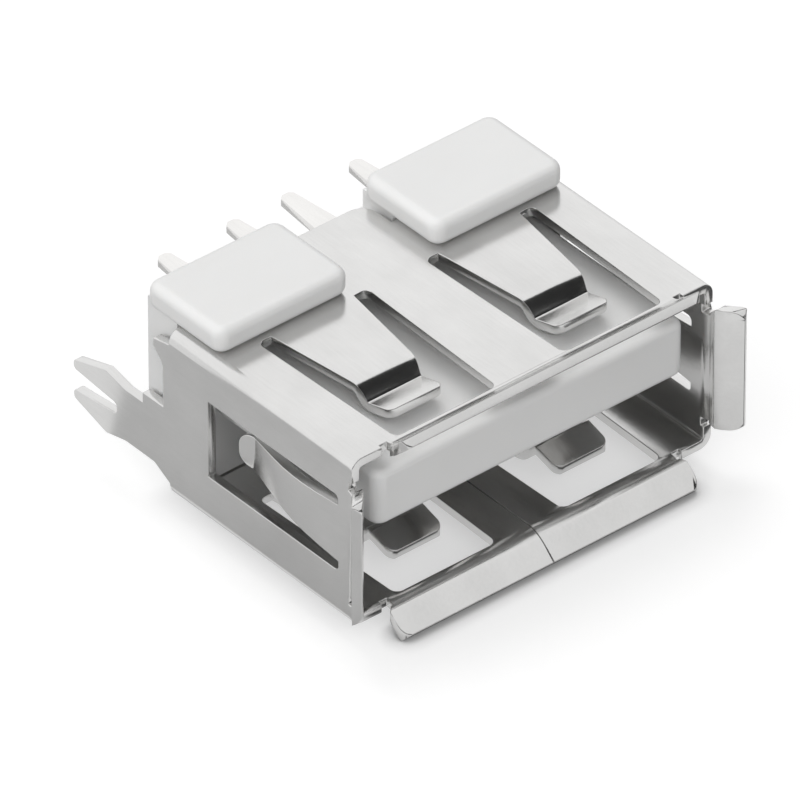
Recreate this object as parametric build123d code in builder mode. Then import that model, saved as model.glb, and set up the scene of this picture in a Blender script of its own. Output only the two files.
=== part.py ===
from build123d import *
import math
import os

os.makedirs("parts", exist_ok=True)

# A short USB-A socket that stands upright on its board. The folded metal shell has a flared mouth
# and four pressed springs in its flat sides, one finger in each side wall and a forked leg behind
# each wall. A white insulator with a tongue and two standoff blocks carries four contacts.
# +X is to the right, +Y runs into the socket and +Z is up, with the origin in the middle of the
# mouth. The board lies across the back, so the pins and the legs point along +Y.

# Opening for the plug, and the sheet that is folded round it
opening_width = 12.6
opening_height = 5.14
sheet = 0.3
corner_radius = 0.12

# Flared mouth
flare_angle = 40
flare_length = 0.98
flare_bend_radius = 0.12
flat_lip_inset = 1.15
side_lip_inset = 0.79
lip_taper = 0.24
lip_corner = 0.34
relief_width = 0.28
relief_depth = 0.14

# Length of the shell, and the tab behind the middle of its top
fold_rear = 8.88
tab_length = 1.15
tab_width = 3.0
tab_corner = 0.6
seam_gap = 0.08

# Springs in the top and the bottom of the shell, measured forwards from their roots
spring_side_margin = 1.73
spring_root = 6.87
spring_arm = 3.15
spring_drop = 0.36
spring_lip = 1.06
spring_root_width = 3.0
spring_neck_width = 2.12
spring_lip_width = 1.96
spring_sag = 0.06
spring_depth = 0.54
spring_rise = 0.3
spring_bend_radius = 0.2
spring_ridge_radius = 0.06
spring_tip_corner = 0.32
spring_slot = 0.48
spring_window_width = 3.66
spring_window_margin = 0.14
spring_window_corner = 0.25

# Fingers in the side walls, measured backwards from the front of their windows
finger_window_margin = 0.58
finger_window_length = 5.66
finger_window_height = 2.6
finger_window_lift = 0.1
finger_slot = 0.32
finger_width = 1.12
finger_turn = 2.0
finger_contact = 4.34
finger_length = 4.86
finger_depth = 0.58
finger_return = 0.2
finger_curve = 9.0
finger_tip_corner = 0.45

# Rear of the side walls, measured backwards from the end of the folds
wall_reach = 0.69
wall_top_drop = 0.45
wall_corner_drop = 0.14
notch_reach = 0.27
notch_top = 2.02
notch_bottom = 0.1
notch_corner = 0.38

# Forked legs, measured forwards from their tips
leg_length = 2.86
leg_middle = -1.15
leg_taper = 1.42
leg_shoulder = 0.87
leg_neck_height = 1.8
leg_barb_height = 2.2
leg_tip_spread = 1.32
leg_prong = 0.3
leg_step_gap = 0.2
fork_depth = 1.9
fork_bottom_width = 0.36

# Body of the insulator, which stands a little proud of the tab
standoff = 0.23
body_thickness = 1.88
body_side_clearance = 0.1
body_bottom_clearance = 0.05
neck_clearance = 0.1
tab_clearance = 0.12

# Tongue of the insulator
tongue_front = 0.98
tongue_side_gap = 0.65
tongue_thickness = 1.84
tongue_bottom = 0.07
tongue_corner = 0.38
tongue_edge = 0.22

# Standoff blocks of the insulator
block_tab_gap = 0.05
block_side_inset = 0.27
block_spring_gap = 0.1
block_height = 0.87
block_corner = 0.4
block_edge = 0.3

# Contacts, in grooves under the tongue
contact_sheet = 0.25
contact_width = 1.0
contact_inner_pitch = 2.0
contact_outer_pitch = 7.0
contact_front_gap = 1.0
contact_sink = 0.29
contact_bump = 0.27
contact_bump_length = 0.9
contact_arm = 4.3
contact_bend_radius = 0.2
groove_end_gap = 0.3
groove_side_clearance = 0.12
groove_depth = 0.48

# Tails of the contacts
tail_level = 1.67
tail_length = 2.69
tail_root_width = 0.98
tail_tip_width = 0.46
tail_tip_corner = 0.12

# Outer surfaces of the shell, and the board plane behind it
half_width = opening_width / 2 + sheet
spring_offset = half_width - spring_side_margin - spring_window_width / 2
half_height = opening_height / 2 + sheet
outer_radius = corner_radius + sheet
tab_rear = fold_rear + tab_length
body_rear = tab_rear + standoff
body_front = body_rear - body_thickness

# The flare bends out of the flat sides here, so that its lips end at the mouth plane
angle = math.radians(flare_angle)
mouth_bend = flare_length * math.cos(angle) + sheet * math.sin(angle)
flat_lip_length = 2 * (half_width - flat_lip_inset)
side_lip_length = 2 * (half_height - side_lip_inset)


def flared_lip(surface, length):
    """A lip that leaves the plane z = surface at the mouth, where it is as long as given."""
    level = surface - sheet / 2
    bend = mouth_bend - sheet / 2 * math.tan(angle / 2)
    reach = flare_length + sheet / 2 * math.tan(angle / 2)
    with BuildPart() as lip:
        with BuildSketch(Plane.YZ):
            with BuildLine():
                FilletPolyline(
                    (mouth_bend + 2 * sheet, level),
                    (bend, level),
                    (bend - reach * math.cos(angle), level + reach * math.sin(angle)),
                    radius=flare_bend_radius + sheet / 2,
                )
            trace(line_width=sheet)
        extrude(amount=length / 2, both=True)
        with BuildSketch(Plane.XY) as plan:
            with BuildLine():
                edge = Polyline(
                    (0, mouth_bend + 2 * sheet),
                    (length / 2 - lip_taper, mouth_bend + 2 * sheet),
                    (length / 2 - lip_taper, bend),
                    (length / 2, bend - lip_taper),
                    (length / 2, 0),
                    (0, 0),
                )
                mirror(edge, about=Plane.YZ)
            make_face()
            fillet(plan.vertices().group_by(Axis.Y)[0], radius=lip_corner)
        extrude(amount=surface + flare_length, mode=Mode.INTERSECT)
    return lip.part


def pressed_spring():
    """A spring of the upper side, over X = 0, that dips into the opening and rises to its tip."""
    level = half_height - sheet / 2
    bend = spring_root - spring_arm
    ridge = bend - spring_drop
    tip = ridge - spring_lip
    with BuildPart() as spring:
        with BuildSketch(Plane.YZ):
            with BuildLine():
                FilletPolyline(
                    (spring_root + sheet, level),
                    (spring_root - sheet, level),
                    (bend, level - spring_sag),
                    (ridge, level - spring_depth),
                    (tip, level - spring_depth + spring_rise),
                    radius=(
                        spring_bend_radius + sheet / 2,
                        spring_bend_radius + sheet / 2,
                        spring_ridge_radius + sheet / 2,
                    ),
                )
            trace(line_width=sheet)
        extrude(amount=spring_root_width, both=True)
        with BuildSketch(Plane.XY) as plan:
            with BuildLine():
                edge = Polyline(
                    (0, spring_root + 2 * sheet),
                    (spring_root_width / 2, spring_root + 2 * sheet),
                    (spring_root_width / 2, spring_root),
                    (spring_neck_width / 2, bend),
                    (spring_lip_width / 2, ridge),
                    (spring_lip_width / 2, tip),
                    (0, tip),
                )
                mirror(edge, about=Plane.YZ)
            make_face()
            fillet(plan.vertices().group_by(Axis.Y)[0], radius=spring_tip_corner)
        extrude(amount=half_height * 2, mode=Mode.INTERSECT)
    return spring.part


def side_finger():
    """The finger of the right wall, rooted in front, bowed inwards and turned out at its tip."""
    level = half_width - sheet / 2
    front = mouth_bend + finger_window_margin
    tip = front + finger_length
    neck_height = finger_window_height - 2 * finger_slot
    with BuildPart() as finger:
        with BuildSketch(Plane.XY):
            with BuildLine():
                FilletPolyline(
                    (level, front - sheet),
                    (level, front + finger_turn),
                    (level - finger_depth, front + finger_contact),
                    (level - finger_depth + finger_return, tip + sheet),
                    radius=(finger_curve, 2 * sheet),
                )
            trace(line_width=sheet)
        extrude(amount=half_height, both=True)
        with BuildSketch(Plane.YZ) as side:
            with BuildLine():
                edge = Polyline(
                    (front - sheet, 0),
                    (front - sheet, neck_height / 2),
                    (front, neck_height / 2),
                    (front + finger_contact, finger_width / 2),
                    (tip, finger_width / 2),
                    (tip, 0),
                )
                mirror(edge, about=Plane.XZ)
            make_face()
            fillet(side.vertices().group_by(Axis.X)[-1], radius=finger_tip_corner)
        extrude(amount=half_width * 2, mode=Mode.INTERSECT)
    return finger.part.moved(Location((0, 0, finger_window_lift)))


def corners_at(outline, place):
    """The corners of a sketch at one place along its first axis."""
    return outline.vertices().filter_by_position(Axis.X, place - 0.01, place + 0.01)


def wall_tail():
    """The rear of the right wall, flat behind the folds, with its notch and its forked leg."""
    wall_rear = fold_rear + wall_reach
    wall_top = half_height - wall_top_drop
    notch_front = fold_rear + notch_reach
    tip = body_rear + leg_length
    barb = tip - leg_taper
    shoulder = barb - leg_shoulder
    step = body_rear - leg_step_gap
    fork_bottom = tip - fork_depth
    fork_width = leg_tip_spread / 2 - leg_prong
    with BuildPart() as tail:
        with BuildSketch(Plane.YZ.offset(half_width - sheet)) as wall:
            with BuildLine():
                Polyline(
                    (fold_rear - sheet, half_height - outer_radius),
                    (fold_rear, half_height - outer_radius),
                    (fold_rear, wall_top),
                    (wall_rear, wall_top - wall_corner_drop),
                    (wall_rear, notch_top),
                    (notch_front, notch_top - (wall_rear - notch_front)),
                    (notch_front, notch_bottom),
                    (step, notch_bottom),
                    (step, leg_middle),
                    (wall_rear, leg_middle - leg_neck_height / 2),
                    (fold_rear, -wall_top),
                    (fold_rear - sheet, outer_radius - half_height),
                    close=True,
                )
            make_face()
            fillet(corners_at(wall, notch_front).sort_by(Axis.Y)[-1], radius=notch_corner)
        leg_plane = Plane((half_width - sheet, 0, leg_middle), x_dir=(0, 1, 0), z_dir=(1, 0, 0))
        with BuildSketch(leg_plane) as leg:
            with BuildLine():
                edge = Polyline(
                    (notch_front, 0),
                    (notch_front, leg_neck_height / 2),
                    (shoulder, leg_neck_height / 2),
                    (barb, leg_barb_height / 2),
                    (tip, leg_tip_spread / 2),
                    (tip, fork_width),
                    (fork_bottom, fork_bottom_width / 2),
                    (fork_bottom, 0),
                )
                mirror(edge, about=Plane.XZ)
            make_face()
            fillet(corners_at(leg, tip), radius=leg_prong * 0.45)
            fillet(corners_at(leg, barb), radius=sheet)
            fillet(corners_at(leg, shoulder), radius=sheet)
            fillet(corners_at(leg, fork_bottom), radius=fork_bottom_width * 0.4)
        extrude(amount=sheet)
    return tail.part


# Shell, folded from one sheet
with BuildPart() as shell:
    with BuildSketch(Plane.XZ.offset(-mouth_bend)):
        RectangleRounded(2 * half_width, 2 * half_height, outer_radius)
        RectangleRounded(opening_width, opening_height, corner_radius, mode=Mode.SUBTRACT)
    extrude(amount=mouth_bend - fold_rear)

    # Lips on the four flat sides, with a relief notch at each end
    add(flared_lip(half_height, flat_lip_length))
    add(flared_lip(half_height, flat_lip_length).rotate(Axis.Y, 180))
    add(flared_lip(half_width, side_lip_length).rotate(Axis.Y, 90))
    add(flared_lip(half_width, side_lip_length).rotate(Axis.Y, -90))
    with BuildSketch(Plane.XY):
        with Locations((0, mouth_bend)):
            with GridLocations(flat_lip_length - 2 * lip_taper + relief_width, 0, 2, 1):
                Rectangle(relief_width, 2 * relief_depth)
    extrude(amount=half_height * 2, both=True, mode=Mode.SUBTRACT)
    with BuildSketch(Plane.YZ):
        with Locations((mouth_bend, 0)):
            with GridLocations(0, side_lip_length - 2 * lip_taper + relief_width, 1, 2):
                Rectangle(2 * relief_depth, relief_width)
    extrude(amount=half_width * 2, both=True, mode=Mode.SUBTRACT)

    # Spring windows through the top and the bottom
    window_front = mouth_bend + spring_window_margin
    front_half = spring_window_width / 2
    root_half = spring_root_width / 2 + spring_slot
    with BuildSketch(Plane.XY) as spring_windows:
        with BuildLine():
            Polyline(
                (spring_offset - front_half, window_front),
                (spring_offset + front_half, window_front),
                (spring_offset + root_half, spring_root),
                (spring_offset - root_half, spring_root),
                close=True,
            )
        make_face()
        fillet(spring_windows.vertices().group_by(Axis.Y)[0], radius=spring_window_corner)
        fillet(spring_windows.vertices().group_by(Axis.Y)[-1], radius=spring_slot * 0.45)
        mirror(about=Plane.YZ)
    extrude(amount=half_height * 2, both=True, mode=Mode.SUBTRACT)

    # Finger windows through the side walls
    with BuildSketch(Plane.YZ) as finger_windows:
        with Locations((mouth_bend + finger_window_margin, finger_window_lift)):
            Rectangle(
                finger_window_length,
                finger_window_height,
                align=(Align.MIN, Align.CENTER),
            )
        fillet(finger_windows.vertices().group_by(Axis.X)[0], radius=finger_slot * 0.48)
        fillet(finger_windows.vertices().group_by(Axis.X)[-1], radius=finger_slot * 0.15)
    extrude(amount=half_width * 2, both=True, mode=Mode.SUBTRACT)

    # Springs, fingers and the rear of the walls
    for side in (-1, 1):
        add(Location((side * spring_offset, 0, 0)) * pressed_spring())
        add(Location((side * spring_offset, 0, 0)) * pressed_spring().rotate(Axis.Y, 180))
    add(side_finger())
    add(mirror(side_finger(), about=Plane.YZ, mode=Mode.PRIVATE))
    add(wall_tail())
    add(mirror(wall_tail(), about=Plane.YZ, mode=Mode.PRIVATE))

    # Tab of the top, between the blocks of the insulator
    with BuildSketch(Plane.XY.offset(half_height - sheet)) as tab:
        with Locations((0, tab_rear)):
            Rectangle(tab_width, tab_rear - fold_rear + sheet, align=(Align.CENTER, Align.MAX))
        fillet(tab.vertices().group_by(Axis.Y)[-1], radius=tab_corner)
    extrude(amount=sheet)

    # Seam along the middle of the bottom
    with BuildSketch(Plane.XY):
        Rectangle(seam_gap, 2 * tab_rear)
    extrude(amount=-half_height * 2, mode=Mode.SUBTRACT)

shell.part.label = "shell"
export_step(shell.part, "parts/shell.step")


# Contacts, named by the job that each has
contact_level = tongue_bottom + contact_sink
contact_front = tongue_front + contact_front_gap
contact_top = contact_front + contact_bump_length
contact_foot = contact_front + contact_arm
contact_jog = (body_front + body_rear) / 2
tail_tip = body_rear + tail_length
contact_places = {
    "contact_power": -contact_outer_pitch / 2,
    "contact_data_minus": -contact_inner_pitch / 2,
    "contact_data_plus": contact_inner_pitch / 2,
    "contact_ground": contact_outer_pitch / 2,
}
contacts = []
for name, place in contact_places.items():
    with BuildPart() as contact:
        with BuildSketch(Plane.YZ.offset(place)):
            with BuildLine():
                FilletPolyline(
                    (contact_front, contact_level),
                    (contact_top, tongue_bottom - contact_bump),
                    (contact_foot, contact_level),
                    (contact_jog, contact_level),
                    (contact_jog, tail_level),
                    (tail_tip, tail_level),
                    radius=contact_bend_radius + contact_sheet / 2,
                )
            trace(line_width=contact_sheet)
        extrude(amount=contact_width / 2, both=True)
        with BuildSketch(Plane((place, 0, -half_height))) as plan:
            with BuildLine():
                edge = Polyline(
                    (0, contact_front - contact_sheet),
                    (contact_width / 2, contact_front - contact_sheet),
                    (contact_width / 2, contact_jog + contact_sheet / 2),
                    (tail_root_width / 2, contact_jog + contact_sheet / 2),
                    (tail_root_width / 2, body_rear),
                    (tail_tip_width / 2, tail_tip),
                    (0, tail_tip),
                )
                mirror(edge, about=Plane.YZ)
            make_face()
            chamfer(plan.vertices().group_by(Axis.Y)[-1], length=tail_tip_corner)
        extrude(amount=2 * half_height, mode=Mode.INTERSECT)
    contact.part.label = name
    export_step(contact.part, f"parts/{name}.step")
    contacts.append(contact.part)

# Insulator
tongue_width = opening_width - 2 * tongue_side_gap
body_half_width = opening_width / 2 - body_side_clearance
body_top = opening_height / 2
body_bottom = body_bottom_clearance - opening_height / 2
folded_end = fold_rear + neck_clearance
block_inner = tab_width / 2 + block_tab_gap
block_outer = half_width - block_side_inset
block_front = spring_root + block_spring_gap
groove_front = contact_front - groove_end_gap
with BuildPart() as insulator:
    # Body inside the folds, seated against the inside of the top
    with BuildSketch(Plane.XZ.offset(-body_front)):
        with Locations((0, (body_top + body_bottom) / 2)):
            RectangleRounded(2 * body_half_width, body_top - body_bottom, corner_radius)
    extrude(amount=body_front - folded_end)

    # Tongue
    with BuildSketch(Plane.XY.offset(tongue_bottom)) as tongue:
        with Locations((0, tongue_front)):
            Rectangle(tongue_width, body_front - tongue_front + sheet, align=(Align.CENTER, Align.MIN))
        fillet(tongue.vertices().group_by(Axis.Y)[0], radius=tongue_corner)
    extrude(amount=tongue_thickness)
    rims = insulator.edges().filter_by_position(Axis.Y, 0, tongue_front + tongue_corner)
    fillet(rims.filter_by(Plane.XY), radius=tongue_edge)

    # Standoff blocks on top of the shell, rounded like cushions
    with BuildSketch(Plane.XY.offset(half_height)) as blocks:
        with Locations((0, (block_front + body_rear) / 2)):
            with GridLocations(block_outer + block_inner, 0, 2, 1):
                Rectangle(block_outer - block_inner, body_rear - block_front)
        fillet(blocks.vertices(), radius=block_corner)
    extrude(amount=block_height)
    pads = insulator.edges().filter_by_position(Axis.Z, half_height, half_height + block_height)
    fillet(pads.filter_by(Plane.XY), radius=block_edge)

    # Back plate behind the folds, which joins the blocks and leaves room for the tab
    tab_room = tab_width / 2 + tab_clearance
    with BuildSketch(Plane.XZ.offset(-folded_end)):
        with BuildLine():
            edge = Polyline(
                (0, body_bottom),
                (body_half_width, body_bottom),
                (body_half_width, half_height + block_edge),
                (tab_room, half_height + block_edge),
                (tab_room, body_top),
                (0, body_top),
            )
            mirror(edge, about=Plane.YZ)
        make_face()
    extrude(amount=folded_end - body_rear)

    # Grooves under the tongue, and the places where the contacts pass through the body
    groove_length = body_front - groove_front
    groove_width = contact_width + 2 * groove_side_clearance
    with BuildSketch(Plane.XY.offset(tongue_bottom)):
        for place in contact_places.values():
            with Locations((place, groove_front + groove_length / 2)):
                Rectangle(groove_width, groove_length)
    extrude(amount=groove_depth, mode=Mode.SUBTRACT)
    for piece in contacts:
        add(piece, mode=Mode.SUBTRACT)

insulator.part.label = "insulator"
export_step(insulator.part, "parts/insulator.step")
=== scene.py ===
# %% [markdown]
# A USB-A socket that stands upright on its board is a folded steel shell around a white moulding
# with four spring contacts. The CAD model already holds every form, so this lesson is about what
# a plain CAD mesh lacks: edges that catch the light, sheet metal that looks rolled and stamped,
# plastic that looks moulded, and a studio that shows them. It starts by loading the frame.

# %% Load the frame
import math

import bpy
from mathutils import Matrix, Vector


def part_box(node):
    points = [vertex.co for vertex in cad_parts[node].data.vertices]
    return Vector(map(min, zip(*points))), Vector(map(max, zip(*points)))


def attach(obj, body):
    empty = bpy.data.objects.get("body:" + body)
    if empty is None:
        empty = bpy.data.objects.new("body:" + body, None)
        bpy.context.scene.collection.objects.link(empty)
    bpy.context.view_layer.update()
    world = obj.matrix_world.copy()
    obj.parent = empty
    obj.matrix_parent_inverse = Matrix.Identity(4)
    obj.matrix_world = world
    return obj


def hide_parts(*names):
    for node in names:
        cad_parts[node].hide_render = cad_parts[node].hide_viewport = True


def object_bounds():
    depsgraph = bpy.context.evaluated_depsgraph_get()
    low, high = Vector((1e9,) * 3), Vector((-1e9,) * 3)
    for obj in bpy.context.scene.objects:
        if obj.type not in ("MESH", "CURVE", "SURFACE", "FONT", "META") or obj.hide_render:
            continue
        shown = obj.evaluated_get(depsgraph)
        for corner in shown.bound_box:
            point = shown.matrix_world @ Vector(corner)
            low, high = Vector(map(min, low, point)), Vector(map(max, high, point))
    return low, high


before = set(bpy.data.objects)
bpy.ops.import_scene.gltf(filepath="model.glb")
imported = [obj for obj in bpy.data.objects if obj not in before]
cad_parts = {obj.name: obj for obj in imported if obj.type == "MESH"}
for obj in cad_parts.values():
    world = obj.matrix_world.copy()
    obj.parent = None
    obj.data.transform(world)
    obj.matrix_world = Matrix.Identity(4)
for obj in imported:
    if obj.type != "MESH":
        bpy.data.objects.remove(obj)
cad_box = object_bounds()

MM = 0.001
for node in sorted(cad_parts):
    low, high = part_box(node)
    print(node, "size in mm:", [round(side / MM, 2) for side in high - low])

# %% [markdown]
# The camera comes early, because every later choice is judged through it. The photograph was
# taken from far away with a long lens, so the socket's long edges stay nearly parallel. A long
# lens has a large focal length on the same sensor, and the camera stands back to match.

# %% Camera
TURN = math.radians(-40.05)
TILT = math.radians(36.78)
CAMERA_PLACE = (-249.22 * MM, -289.78 * MM, 288.11 * MM)
SENSOR_WIDTH = 36
FOCAL_LENGTH = 774.2
NEAREST_SEEN = 0.01

bpy.ops.object.camera_add(
    location=CAMERA_PLACE,
    rotation=(math.radians(90) - TILT, 0, TURN),
)
camera = bpy.context.object
camera.name = "studio_camera"
camera.data.sensor_width = SENSOR_WIDTH
camera.data.lens = FOCAL_LENGTH
camera.data.clip_start = NEAREST_SEEN
bpy.context.scene.camera = camera
bpy.context.scene.view_settings.view_transform = "Standard"
print("camera distance in mm:", round(camera.location.length / MM, 1))

# %% [markdown]
# Shader maths reads best as plain sums. This small class wraps one output socket of a node, and
# its operators add Math nodes, so that `0.3 + 0.1 * grain` is an expression and also two nodes.
# Colours never go through it, because a Math node would turn them grey: they use Mix nodes. A Mix
# node has sockets of the same name for numbers and for colours, so its sockets go by number.

# %% A wrapper for shader sums
MIX_FACTOR = 0
MIX_FIRST_COLOUR = 6
MIX_SECOND_COLOUR = 7
MIX_COLOUR_RESULT = 2


class Wire:
    """One output of a node. Sums and products of wires add Math nodes to the same material."""

    def __init__(self, tree, socket=None):
        self.tree = tree
        self.socket = socket

    def node(self, kind, settings, inputs, output=0):
        """Adds a node: its settings first, then the values or links of its inputs."""
        made = self.tree.nodes.new(kind)
        for name, value in settings.items():
            setattr(made, name, value)
        for name, value in inputs.items():
            if isinstance(value, Wire):
                self.tree.links.new(value.socket, made.inputs[name])
            else:
                made.inputs[name].default_value = value
        return Wire(self.tree, made.outputs[output])

    def math(self, operation, first, second, clamp=False):
        settings = {"operation": operation, "use_clamp": clamp}
        return self.node("ShaderNodeMath", settings, {0: first, 1: second})

    def __add__(self, other):
        return self.math("ADD", self, other)

    def __radd__(self, other):
        return self.math("ADD", other, self)

    def __sub__(self, other):
        return self.math("SUBTRACT", self, other)

    def __rsub__(self, other):
        return self.math("SUBTRACT", other, self)

    def __mul__(self, other):
        return self.math("MULTIPLY", self, other)

    def __rmul__(self, other):
        return self.math("MULTIPLY", other, self)

    def clamped(self):
        """The same value, kept between 0 and 1."""
        return self.math("ADD", self, 0.0, clamp=True)

    def blend(self, first, second):
        """A colour between two colours, with this wire as the mask."""
        inputs = {MIX_FACTOR: self, MIX_FIRST_COLOUR: first, MIX_SECOND_COLOUR: second}
        return self.node("ShaderNodeMix", {"data_type": "RGBA"}, inputs, MIX_COLOUR_RESULT)


# %% [markdown]
# Every material starts in the same way: a Principled shader, and an empty wire that adds nodes to
# its tree. The finishes of the socket also read their place on the object. These helpers make
# both, so that the finishes below only say what is special about them.

# %% A fresh material
def plain_material(name):
    """A new material, its shader, and an empty wire to add nodes with."""
    material = bpy.data.materials.new(name)
    material.use_nodes = True
    shader = material.node_tree.nodes["Principled BSDF"]
    return material, shader, Wire(material.node_tree)


def surface_material(name):
    """A new material, its shader, and the places on the object that wears it."""
    material, shader, wire = plain_material(name)
    return material, shader, wire.node("ShaderNodeTexCoord", {}, {}, "Object")


def feed(node, **inputs):
    """Links wires, or sets plain values, on the inputs of a node that is already there."""
    for name, value in inputs.items():
        socket = node.inputs[name.replace("_", " ")]
        if isinstance(value, Wire):
            value.tree.links.new(value.socket, socket)
        else:
            socket.default_value = value


# %% [markdown]
# The finishes are made of soft noise. Its waves are counted in each millimetre, and fewer
# waves along one axis stretch it into lines. The noise lies around 0.5, so a small helper centres
# it on zero before it raises and lowers another value. A Bump node turns a height into a tilt of
# the surface, which is enough for marks that are too fine to model.

# %% Noise and relief
def noise(place, waves, detail, roughness):
    """Smooth noise between 0 and 1, with about so many waves in a mm along each axis."""
    scale = [number / MM for number in waves]
    spread = place.node("ShaderNodeMapping", {}, {"Vector": place, "Scale": scale})
    inputs = {"Vector": spread, "Scale": 1.0, "Detail": detail, "Roughness": roughness}
    return place.node("ShaderNodeTexNoise", {}, inputs, "Fac")


def swing(wave, amount):
    """Noise centred on zero and multiplied by an amount."""
    return amount * (wave - 0.5)


def relief(height):
    """Turns a height in mm into a tilt of the surface."""
    inputs = {"Strength": 1.0, "Distance": MM, "Height": height}
    return height.node("ShaderNodeBump", {}, inputs, "Normal")


def toned(colour, factor):
    """A colour made darker or lighter by a factor, with its alpha."""
    return [min(channel * factor, 1) for channel in colour] + [1]


# %% [markdown]
# The shell is steel strip with a bright coat of tin. Rolling leaves very fine lines along the
# strip, and the tin lies on them in faint clouds that are a little duller or brighter. Both are
# far too fine to model, so noise that is stretched along the strip tilts the normal by a hair
# and varies the roughness. The metal colour stays nearly even, as tin's does. The contacts are of
# a copper alloy with the same coat, which looks paler and smoother on them. The cut edges of both
# get the finish of their faces: in the picture they are as silvery, and the rounding that follows
# is enough to set them apart.

# %% Tinned metal
ROLLING_LINES = (14, 0.9, 14)
TIN_CLOUDS = (0.55, 0.4, 0.55)
TIN_SPECKS = (5, 5, 5)
TIN_ROUGHNESS = 0.18
DULL_TIN = 0.9
BRIGHT_TIN = 1.06
SPECK_SHARE = 0.4


def tinned_face(name, colour, line_depth, cloud_depth):
    """A tinned face of rolled metal, with the depths of its lines and its clouds in mm."""
    material, shader, place = surface_material(name)
    lines = noise(place, ROLLING_LINES, detail=3.0, roughness=0.6)
    clouds = noise(place, TIN_CLOUDS, detail=3.0, roughness=0.55)
    specks = noise(place, TIN_SPECKS, detail=2.0, roughness=0.5)
    rough = TIN_ROUGHNESS + swing(clouds, 0.1) + swing(lines, 0.06) + swing(specks, 0.05)
    bright = (0.5 + swing(clouds, 1.4) + swing(lines, 0.5)).clamped()
    tint = bright.blend(toned(colour, DULL_TIN), toned(colour, BRIGHT_TIN))
    height = line_depth * lines + cloud_depth * clouds + SPECK_SHARE * line_depth * specks
    feed(shader, Base_Color=tint, Roughness=rough, Metallic=1.0, Normal=relief(height))
    return material


STEEL_COLOUR = (0.77, 0.767, 0.76)
COPPER_COLOUR = (0.91, 0.9, 0.885)

tinned_steel = tinned_face("tinned_steel_face", STEEL_COLOUR, line_depth=0.0012, cloud_depth=0.004)
tinned_copper = tinned_face("tinned_copper_face", COPPER_COLOUR, line_depth=0.0008, cloud_depth=0.002)
print("metal finishes:", tinned_steel.name, tinned_copper.name)

# %% [markdown]
# The insulator is moulded from white plastic. The mould's surface is finely eroded, so the plastic
# is satin, with a soft highlight and a little light that scatters below its skin. Slow noise
# stands for the flow of the melt, and fine noise for the eroded texture.

# %% White moulded plastic
MELT_FLOW = (0.35, 0.6, 0.5)
FLOW_DEPTH = 0.006
MOULD_TEXTURE = (9, 9, 9)
TEXTURE_DEPTH = 0.0022
DULL_WHITE = (0.86, 0.86, 0.852, 1)
CLEAN_WHITE = (0.9, 0.9, 0.895, 1)
PLASTIC_ROUGHNESS = 0.42


def moulded_plastic(name):
    """Satin white plastic with a little light below its skin."""
    material, shader, place = surface_material(name)
    flow = noise(place, MELT_FLOW, detail=2.0, roughness=0.5)
    texture = noise(place, MOULD_TEXTURE, detail=3.0, roughness=0.6)
    tint = flow.blend(DULL_WHITE, CLEAN_WHITE)
    rough = PLASTIC_ROUGHNESS + swing(texture, 0.14) + swing(flow, 0.08)
    height = TEXTURE_DEPTH * texture + FLOW_DEPTH * flow
    feed(shader, Base_Color=tint, Roughness=rough, Normal=relief(height))
    feed(shader, Subsurface_Weight=0.15, Subsurface_Scale=0.4 * MM)
    feed(shader, Subsurface_Radius=(1, 0.95, 0.9))
    return material


white_plastic = moulded_plastic("white_moulded_plastic")
print("insulator finish:", white_plastic.name)

# %% [markdown]
# A mesh from CAD is loose triangles, and the CAD node itself stays as it is. Each node is
# therefore copied. The copy's doubles are merged, so that it becomes one connected mesh, and its
# flat triangles are dissolved into whole faces, which later steps can cut and round cleanly. At
# the end a piece is attached to the body that it rides on, and the node that it replaces is hidden.

# %% Copy a CAD node
DOUBLES = 0.0005 * MM
SAME_PLANE = math.radians(0.3)


def merged_copy(node, name, material):
    """A copy of a CAD node as one connected mesh in its own material, selected and active."""
    piece = bpy.data.objects.new(name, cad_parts[node].data.copy())
    piece.data.name = name
    piece.data.materials.clear()
    piece.data.materials.append(material)
    bpy.context.scene.collection.objects.link(piece)
    bpy.ops.object.select_all(action="DESELECT")
    piece.select_set(True)
    bpy.context.view_layer.objects.active = piece
    bpy.ops.object.mode_set(mode="EDIT")
    bpy.ops.mesh.select_all(action="SELECT")
    bpy.ops.mesh.remove_doubles(threshold=DOUBLES)
    bpy.ops.mesh.dissolve_limited(angle_limit=SAME_PLANE)
    bpy.ops.object.mode_set(mode="OBJECT")
    print(name, "faces of the copy:", len(piece.data.polygons))
    return piece


def finish_piece(piece, node):
    """Attaches a finished piece to the root body and hides the CAD node that it replaces."""
    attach(piece, "root")
    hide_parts(node)
    print(piece.name, "faces:", len(piece.data.polygons))


# %% [markdown]
# CAD edges are knife-sharp, and no real edge is: a thin rounding is what catches a line of light.
# A Bevel modifier rounds the edges, a Weighted Normal modifier keeps the flat faces flat, and both
# are applied, so the rounding is real geometry. The bevel's clamp keeps it from crossing itself,
# but it makes every edge as narrow as the tightest one allows. Edges that are too short to see are
# merged first for that reason. The shell is then rounded without the clamp, and the other pieces
# keep it, because spikes would grow from their tightest corners.

# %% Round the edges
SHORTEST_EDGE = 0.015 * MM
SHARP_EDGE = math.radians(55)
SMOOTH_EDGE = math.radians(40)
ROUNDING_STEPS = 2


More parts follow.
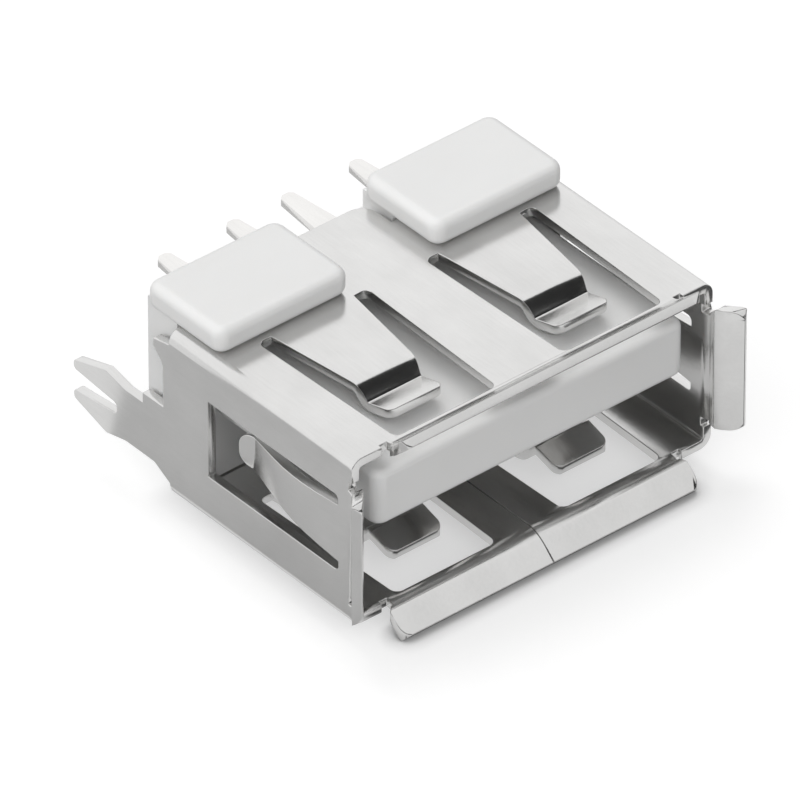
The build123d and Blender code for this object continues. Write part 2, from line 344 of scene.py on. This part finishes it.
def rounded(piece, radius, clamp=True):
    """Rounds the sharp edges of a piece, and shades it smoothly between them."""
    bpy.ops.object.mode_set(mode="EDIT")
    bpy.ops.mesh.select_all(action="SELECT")
    bpy.ops.mesh.remove_doubles(threshold=SHORTEST_EDGE)
    bpy.ops.object.mode_set(mode="OBJECT")
    bevel = piece.modifiers.new("rounded_edges", "BEVEL")
    bevel.width = radius
    bevel.segments = ROUNDING_STEPS
    bevel.limit_method = "ANGLE"
    bevel.angle_limit = SHARP_EDGE
    bevel.use_clamp_overlap = clamp
    bevel.loop_slide = False
    bpy.ops.object.modifier_apply(modifier=bevel.name)
    bpy.ops.object.shade_smooth_by_angle(angle=SMOOTH_EDGE)
    normals = piece.modifiers.new("flat_faces", "WEIGHTED_NORMAL")
    normals.keep_sharp = True
    bpy.ops.object.modifier_apply(modifier=normals.name)


# %% [markdown]
# At the mouth, a punch rolls the four lips outwards over a rounded edge. The CAD model bends them
# tightly at one line, and then they mirror only two tones. On the real socket each lip leaves its
# wall in a long soft bend, which mirrors a whole run of light and dark. Two functions tell how far
# the middle of the sheet stands out at each depth: on the CAD model's fold, and on the softer roll
# that takes its place. At the mouth both come to nearly the same height.

# %% The fold and the roll
SHEET = 0.3 * MM
FOLD_LINE = 0.889 * MM
FOLD_ANGLE = math.radians(40)
FOLD_RADIUS = 0.27 * MM
ROLL_START = 1.15 * MM
ROLL_END = 0.45 * MM
ROLL_SLOPE = 0.925


def folded_height(depth):
    """How far the middle of the sheet stands out on the fold, and its slope there."""
    start = FOLD_LINE + FOLD_RADIUS * math.tan(FOLD_ANGLE / 2)
    end = start - FOLD_RADIUS * math.sin(FOLD_ANGLE)
    if depth > start:
        return 0.0, 0.0
    if depth > end:
        rest = math.sqrt(FOLD_RADIUS**2 - (start - depth) ** 2)
        return FOLD_RADIUS - rest, (start - depth) / rest
    return (FOLD_LINE - depth) * math.tan(FOLD_ANGLE), math.tan(FOLD_ANGLE)


def rolled_height(depth):
    """The same on the roll, whose slope grows evenly and then stays."""
    length = ROLL_START - ROLL_END
    if depth > ROLL_END:
        slope = ROLL_SLOPE * (ROLL_START - depth) / length
        return slope * (ROLL_START - depth) / 2, slope
    return ROLL_SLOPE * (length / 2 + ROLL_END - depth), ROLL_SLOPE


at_mouth = [height(0)[0] / MM for height in (folded_height, rolled_height)]
print("height of the lips in mm, folded and rolled:", [round(side, 3) for side in at_mouth])

# %% [markdown]
# The roll needs vertices that it can lift. Bisecting the front of the shell at even depths gives
# it rings of them. The flat part of each lip is cut once more near both of its ends, because the
# long thin faces there would be lifted at one corner only and would show as a dark crease.

# %% Cut rings into the front of the shell
RINGS = 10
LIP_CUTS = ((0, 0, 1.7), (0, 0, -1.7), (5.07, 0, 0), (-5.07, 0, 0))


def cut_rings(piece):
    """Bisects the front of the shell at even depths, and the lips near their ends."""
    bpy.ops.object.mode_set(mode="EDIT")
    for ring in range(RINGS + 1):
        bpy.ops.mesh.select_all(action="SELECT")
        depth = ROLL_END + (ROLL_START - ROLL_END) * ring / RINGS
        bpy.ops.mesh.bisect(plane_co=(0, depth, 0), plane_no=(0, 1, 0))
    bpy.ops.object.mode_set(mode="OBJECT")
    bpy.context.tool_settings.mesh_select_mode = (False, False, True)
    for cut in LIP_CUTS:
        for face in piece.data.polygons:
            face.select = face.center.y < ROLL_END
        bpy.ops.object.mode_set(mode="EDIT")
        bpy.ops.mesh.bisect(plane_co=Vector(cut) * MM, plane_no=Vector(cut).normalized())
        bpy.ops.object.mode_set(mode="OBJECT")
    bpy.context.tool_settings.mesh_select_mode = (True, False, False)
    print(piece.name, "faces with rings:", len(piece.data.polygons))


# %% [markdown]
# Each vertex of a lip lies somewhere between the two faces of the sheet. Its share of the half
# thickness is worked out on the fold and kept on the roll, so the lip keeps its thickness. The
# sheet is measured straight outwards there, across its slope, and is longer that way. The table
# below has a row for each pair of lips: the axis that they stand out along and the one that they
# run along, how far out the middle of their wall is, and how far each lip reaches to the side.

# %% Roll the lips of the mouth
LIPS = (("z", "x", 2.72 * MM, 5.46 * MM), ("x", "z", 6.45 * MM, 2.09 * MM))
WALL_MARGIN = 0.16 * MM
ON_THE_FACE = 0.9


def roll_lips(piece):
    """Lifts the vertices of each lip from the fold onto the roll."""
    moved = 0
    for vertex in piece.data.vertices:
        if vertex.co.y > ROLL_START:
            continue
        for axis, aside, wall, reach in LIPS:
            out = getattr(vertex.co, axis)
            if abs(out) < wall - WALL_MARGIN or abs(getattr(vertex.co, aside)) > reach:
                continue
            height, slope = folded_height(vertex.co.y)
            share = (abs(out) - wall - height) / (SHEET / 2 * math.sqrt(1 + slope**2))
            if abs(share) > ON_THE_FACE:
                share = math.copysign(1, share)
            height, slope = rolled_height(vertex.co.y)
            half = share * SHEET / 2 * math.sqrt(1 + slope**2)
            setattr(vertex.co, axis, math.copysign(wall + height + half, out))
            moved += 1
    print(piece.name, "vertices moved onto the roll:", moved)


# %% [markdown]
# The two ends of the strip meet in a seam along the middle of the bottom. The CAD model leaves a
# clear gap between them, while the seam in the picture is a hairline, so its edges are brought
# together to a little less than a third of that gap.

# %% Close the seam
SEAM_REACH = 0.06 * MM
SEAM_SHARE = 0.3


def close_seam(piece):
    """Brings the two edges of the bottom seam close together."""
    moved = 0
    for vertex in piece.data.vertices:
        if abs(vertex.co.x) < SEAM_REACH and vertex.co.z < 0:
            vertex.co.x *= SEAM_SHARE
            moved += 1
    print(piece.name, "vertices moved at the seam:", moved)


# %% [markdown]
# Now the shell is made from these steps. Its lips and its seam come first, while its edges are
# still sharp and easy to tell by their place. The edges are then rounded by a few hundredths of a
# millimetre, as stamped and plated parts are.

# %% Shell
METAL_ROUNDING = 0.025 * MM

shell_sheet = merged_copy("shell", "shell_sheet", tinned_steel)
cut_rings(shell_sheet)
roll_lips(shell_sheet)
close_seam(shell_sheet)
rounded(shell_sheet, METAL_ROUNDING, clamp=False)
finish_piece(shell_sheet, "shell")

# %% [markdown]
# The insulator is one thick moulding, and a mould leaves its edges rounder than a punch does. Its
# CAD shape is complete, so it is only copied and rounded.

# %% Insulator
MOULDING_ROUNDING = 0.05 * MM

insulator_moulding = merged_copy("insulator", "insulator_moulding", white_plastic)
rounded(insulator_moulding, MOULDING_ROUNDING)
finish_piece(insulator_moulding, "insulator")

# %% [markdown]
# The four contacts are alike, and one loop dresses them all. They are stamped like the shell, so
# their edges get the same rounding.

# %% Contacts
for job in ("power", "data_minus", "data_plus", "ground"):
    contact = merged_copy("contact_" + job, "contact_strip_" + job, tinned_copper)
    rounded(contact, METAL_ROUNDING)
    finish_piece(contact, "contact_" + job)

# %% [markdown]
# A small shiny part shows its surroundings more than its own colour. The set is a white floor and
# a white world that the camera and the mirror-like steel see, and two large soft lamps. White
# surroundings would flood the part with light, so they are white only where they are seen, and
# darker for light that has bounced. A Light Path node knows what kind of ray asks for the colour.

# %% What a ray sees
def light_path(wire, name):
    """What a Light Path node knows of a ray: its kind as 1 or 0, or how often it has bounced."""
    return wire.node("ShaderNodeLightPath", {}, {}, name)


def seen_directly(wire):
    """1 where the background itself is seen, also in metal, and 0 for light that has bounced."""
    in_camera = light_path(wire, "Is Camera Ray")
    in_metal = light_path(wire, "Is Glossy Ray")
    in_glass = light_path(wire, "Is Transmission Ray")
    bounces = light_path(wire, "Diffuse Depth")
    return (in_camera + in_metal + in_glass - bounces).clamped()


# %% [markdown]
# The floor is plain plaster that takes light and shadow. It is a darker grey for light that
# bounces than for the camera, which keeps the inside of the shell dark.

# %% Floor
FLOOR_SIZE = 4
FLOOR_SHADE = 0.35
FLOOR_LIFT = 0.29

bpy.ops.mesh.primitive_plane_add(size=FLOOR_SIZE, location=(0, 0, cad_box[0][2]))
floor = bpy.context.object
floor.name = "studio_floor"
floor_white, plaster, floor_wire = plain_material("floor_white")
floor_tone = FLOOR_SHADE + FLOOR_LIFT * light_path(floor_wire, "Is Camera Ray")
feed(plaster, Base_Color=floor_tone, Roughness=0.8, Specular_IOR_Level=0.1)
floor.data.materials.append(floor_white)
print("floor level in mm:", round(cad_box[0][2] / MM, 3))

# %% [markdown]
# Some glow is added to the plaster where it is seen, so that the floor meets the background
# without a line. Glow alone would also wash out the narrow dark shadow under the lip. An Ambient
# Occlusion node tells how open the floor is within 0.6 mm, and the glow fades where it isn't: the
# dark band under the lip is the plaster's real shadow with a painted shadow laid over it.

# %% Glow of the floor
FLOOR_GLOW = 0.52
SHADOW_REACH = 0.6 * MM
SHADOW_CONTRAST = 1.7
SHADOW_RAYS = 8

reach = {"Distance": SHADOW_REACH}
openness = floor_wire.node("ShaderNodeAmbientOcclusion", {"samples": SHADOW_RAYS}, reach, "AO")
# Painted contact shadow: the glow is taken away where the floor is closed in by the part.
painted_contact_shadow = (SHADOW_CONTRAST * openness - (SHADOW_CONTRAST - 1)).clamped()
glow_strength = FLOOR_GLOW * seen_directly(floor_wire) * painted_contact_shadow
glow_inputs = {"Color": (1, 1, 1, 1), "Strength": glow_strength}
glow = floor_wire.node("ShaderNodeEmission", {}, glow_inputs)
lit = Wire(floor_white.node_tree, plaster.outputs[0])
both = floor_wire.node("ShaderNodeAddShader", {}, {0: lit, 1: glow})
feed(floor_white.node_tree.nodes["Material Output"], Surface=both)
floor_white.cycles.emission_sampling = "NONE"
print("glow of the floor:", FLOOR_GLOW)

# %% [markdown]
# The camera and the metal see the world at full white. What lights the set from it is set apart: a
# little from all sides, more from above and most from the left, where the photograph's blocks are
# brightest. In the metal's mirror image the room is nearly dark low in front of the mouth, where
# the camera would stand, and a little dim higher up. The larger a turn or an edge value is, the
# more quickly that darkness sets in.

# %% World
ALL_ROUND = 0.1
FROM_ABOVE = 0.3
FROM_LEFT = 1.15
DARK_ROOM = 0.92
DARK_BELOW = 0.45
DARK_EDGE = 8
DARK_TURN = 4
DIM_FRONT = 0.16
DIM_TURN = 3

world = bpy.data.worlds.new("studio_world")
bpy.context.scene.world = world
world.use_nodes = True
sky = Wire(world.node_tree)
towards = sky.node("ShaderNodeTexCoord", {}, {}, "Generated")
parts = [sky.node("ShaderNodeSeparateXYZ", {}, {"Vector": towards}, side) for side in "XYZ"]
across, along, height = parts
ambient = ALL_ROUND + FROM_ABOVE * height.clamped() + FROM_LEFT * (0 - across).clamped()
seen = seen_directly(sky)
mirrored = light_path(sky, "Is Glossy Ray")
low_front = (-DARK_TURN * along).clamped() * (DARK_EDGE * (DARK_BELOW - height)).clamped()
dimmed = DARK_ROOM * low_front + DIM_FRONT * (-DIM_TURN * along).clamped()
strength = ambient * (1 - seen) + seen * (1 - mirrored * dimmed).clamped()
feed(world.node_tree.nodes["Background"], Color=(1, 1, 1, 1), Strength=strength)
world.cycles.sampling_method = "NONE"
print("light from the left and from above:", FROM_LEFT, FROM_ABOVE)

# %% [markdown]
# The key lamp stands high and a little behind, so that the fronts of the blocks lie in soft shade.
# A weaker lamp in front fills the mouth. Both are hidden from mirror images, because a lamp
# mirrored in flat metal burns out. A lamp is aimed by turning it until its own -Z axis points at
# the socket.

# %% Lamps
SOCKET_MIDDLE = (0, 5, 0)


def soft_lamp(name, place, size, power):
    """A square lamp with its place and size in mm, aimed at the middle of the socket."""
    spot = Vector(place) * MM
    aim = (Vector(SOCKET_MIDDLE) * MM - spot).to_track_quat("-Z", "Y")
    bpy.ops.object.light_add(type="AREA", location=spot, rotation=aim.to_euler())
    lamp = bpy.context.object
    lamp.name = name
    lamp.data.size = size * MM
    lamp.data.energy = power
    lamp.visible_glossy = False
    print(name, "power in W:", power)


soft_lamp("key_lamp", place=(40, 110, 230), size=150, power=0.19)
soft_lamp("fill_lamp", place=(-60, -200, 130), size=160, power=0.155)

# %% [markdown]
# Bright metal in an all-white room looks like paper. A photographer puts grey and black cards
# beside it, out of the picture, and the metal mirrors them as its darker tones. Only reflections
# see these cards, and light that has bounced off the plastic passes through them: their paint is
# mixed with a Transparent shader by the number of such bounces.

# %% A card
def card_paint(name, shade):
    """Dull grey paint that lets light through once it has bounced off a dull surface."""
    paint, coat, wire = plain_material(name)
    feed(coat, Base_Color=(shade, shade, shade, 1), Roughness=0.9, Specular_IOR_Level=0)
    bounces = light_path(wire, "Diffuse Depth").clamped()
    front = Wire(paint.node_tree, coat.outputs[0])
    clear = wire.node("ShaderNodeBsdfTransparent", {}, {})
    mixed = wire.node("ShaderNodeMixShader", {}, {0: bounces, 1: front, 2: clear})
    feed(paint.node_tree.nodes["Material Output"], Surface=mixed)
    return paint


def card(name, corners, shade):
    """A flat card through four corners in mm, which only reflections see."""
    bpy.ops.mesh.primitive_plane_add(size=2 * MM)
    made = bpy.context.object
    made.name = name
    order = sorted(made.data.vertices, key=lambda v: (v.co.y, v.co.x))
    for vertex, corner in zip(order, corners):
        vertex.co = Vector(corner) * MM
    made.data.materials.append(card_paint(name, shade))
    made.visible_camera = False
    made.visible_diffuse = False
    made.visible_transmission = False
    made.visible_shadow = False
    print(name, "shade:", shade)


# %% [markdown]
# A grey card lies on the floor to the left of the socket, for its left wall. A dark card lies in
# front on the right, for the cut edges of the mouth. A black card stands above the plate, for the
# steep parts of the top springs.

# %% Cards
level = cad_box[0][2] / MM + 0.05
left_card = [(-60, -12, level), (-7, -12, level), (-60, 60, level), (-7, 12.2, level)]
right_card = [(6.4, -60, level), (60, -60, level), (6.4, -0.4, level), (60, -0.4, level)]
standing_card = [(-12, 0.6, 3.8), (22, 0.6, 3.8), (-12, 0.6, 30), (22, 0.6, 30)]

card("grey_card", left_card, shade=0.6)
card("front_card", right_card, shade=0.1)
card("black_card", standing_card, shade=0.06)
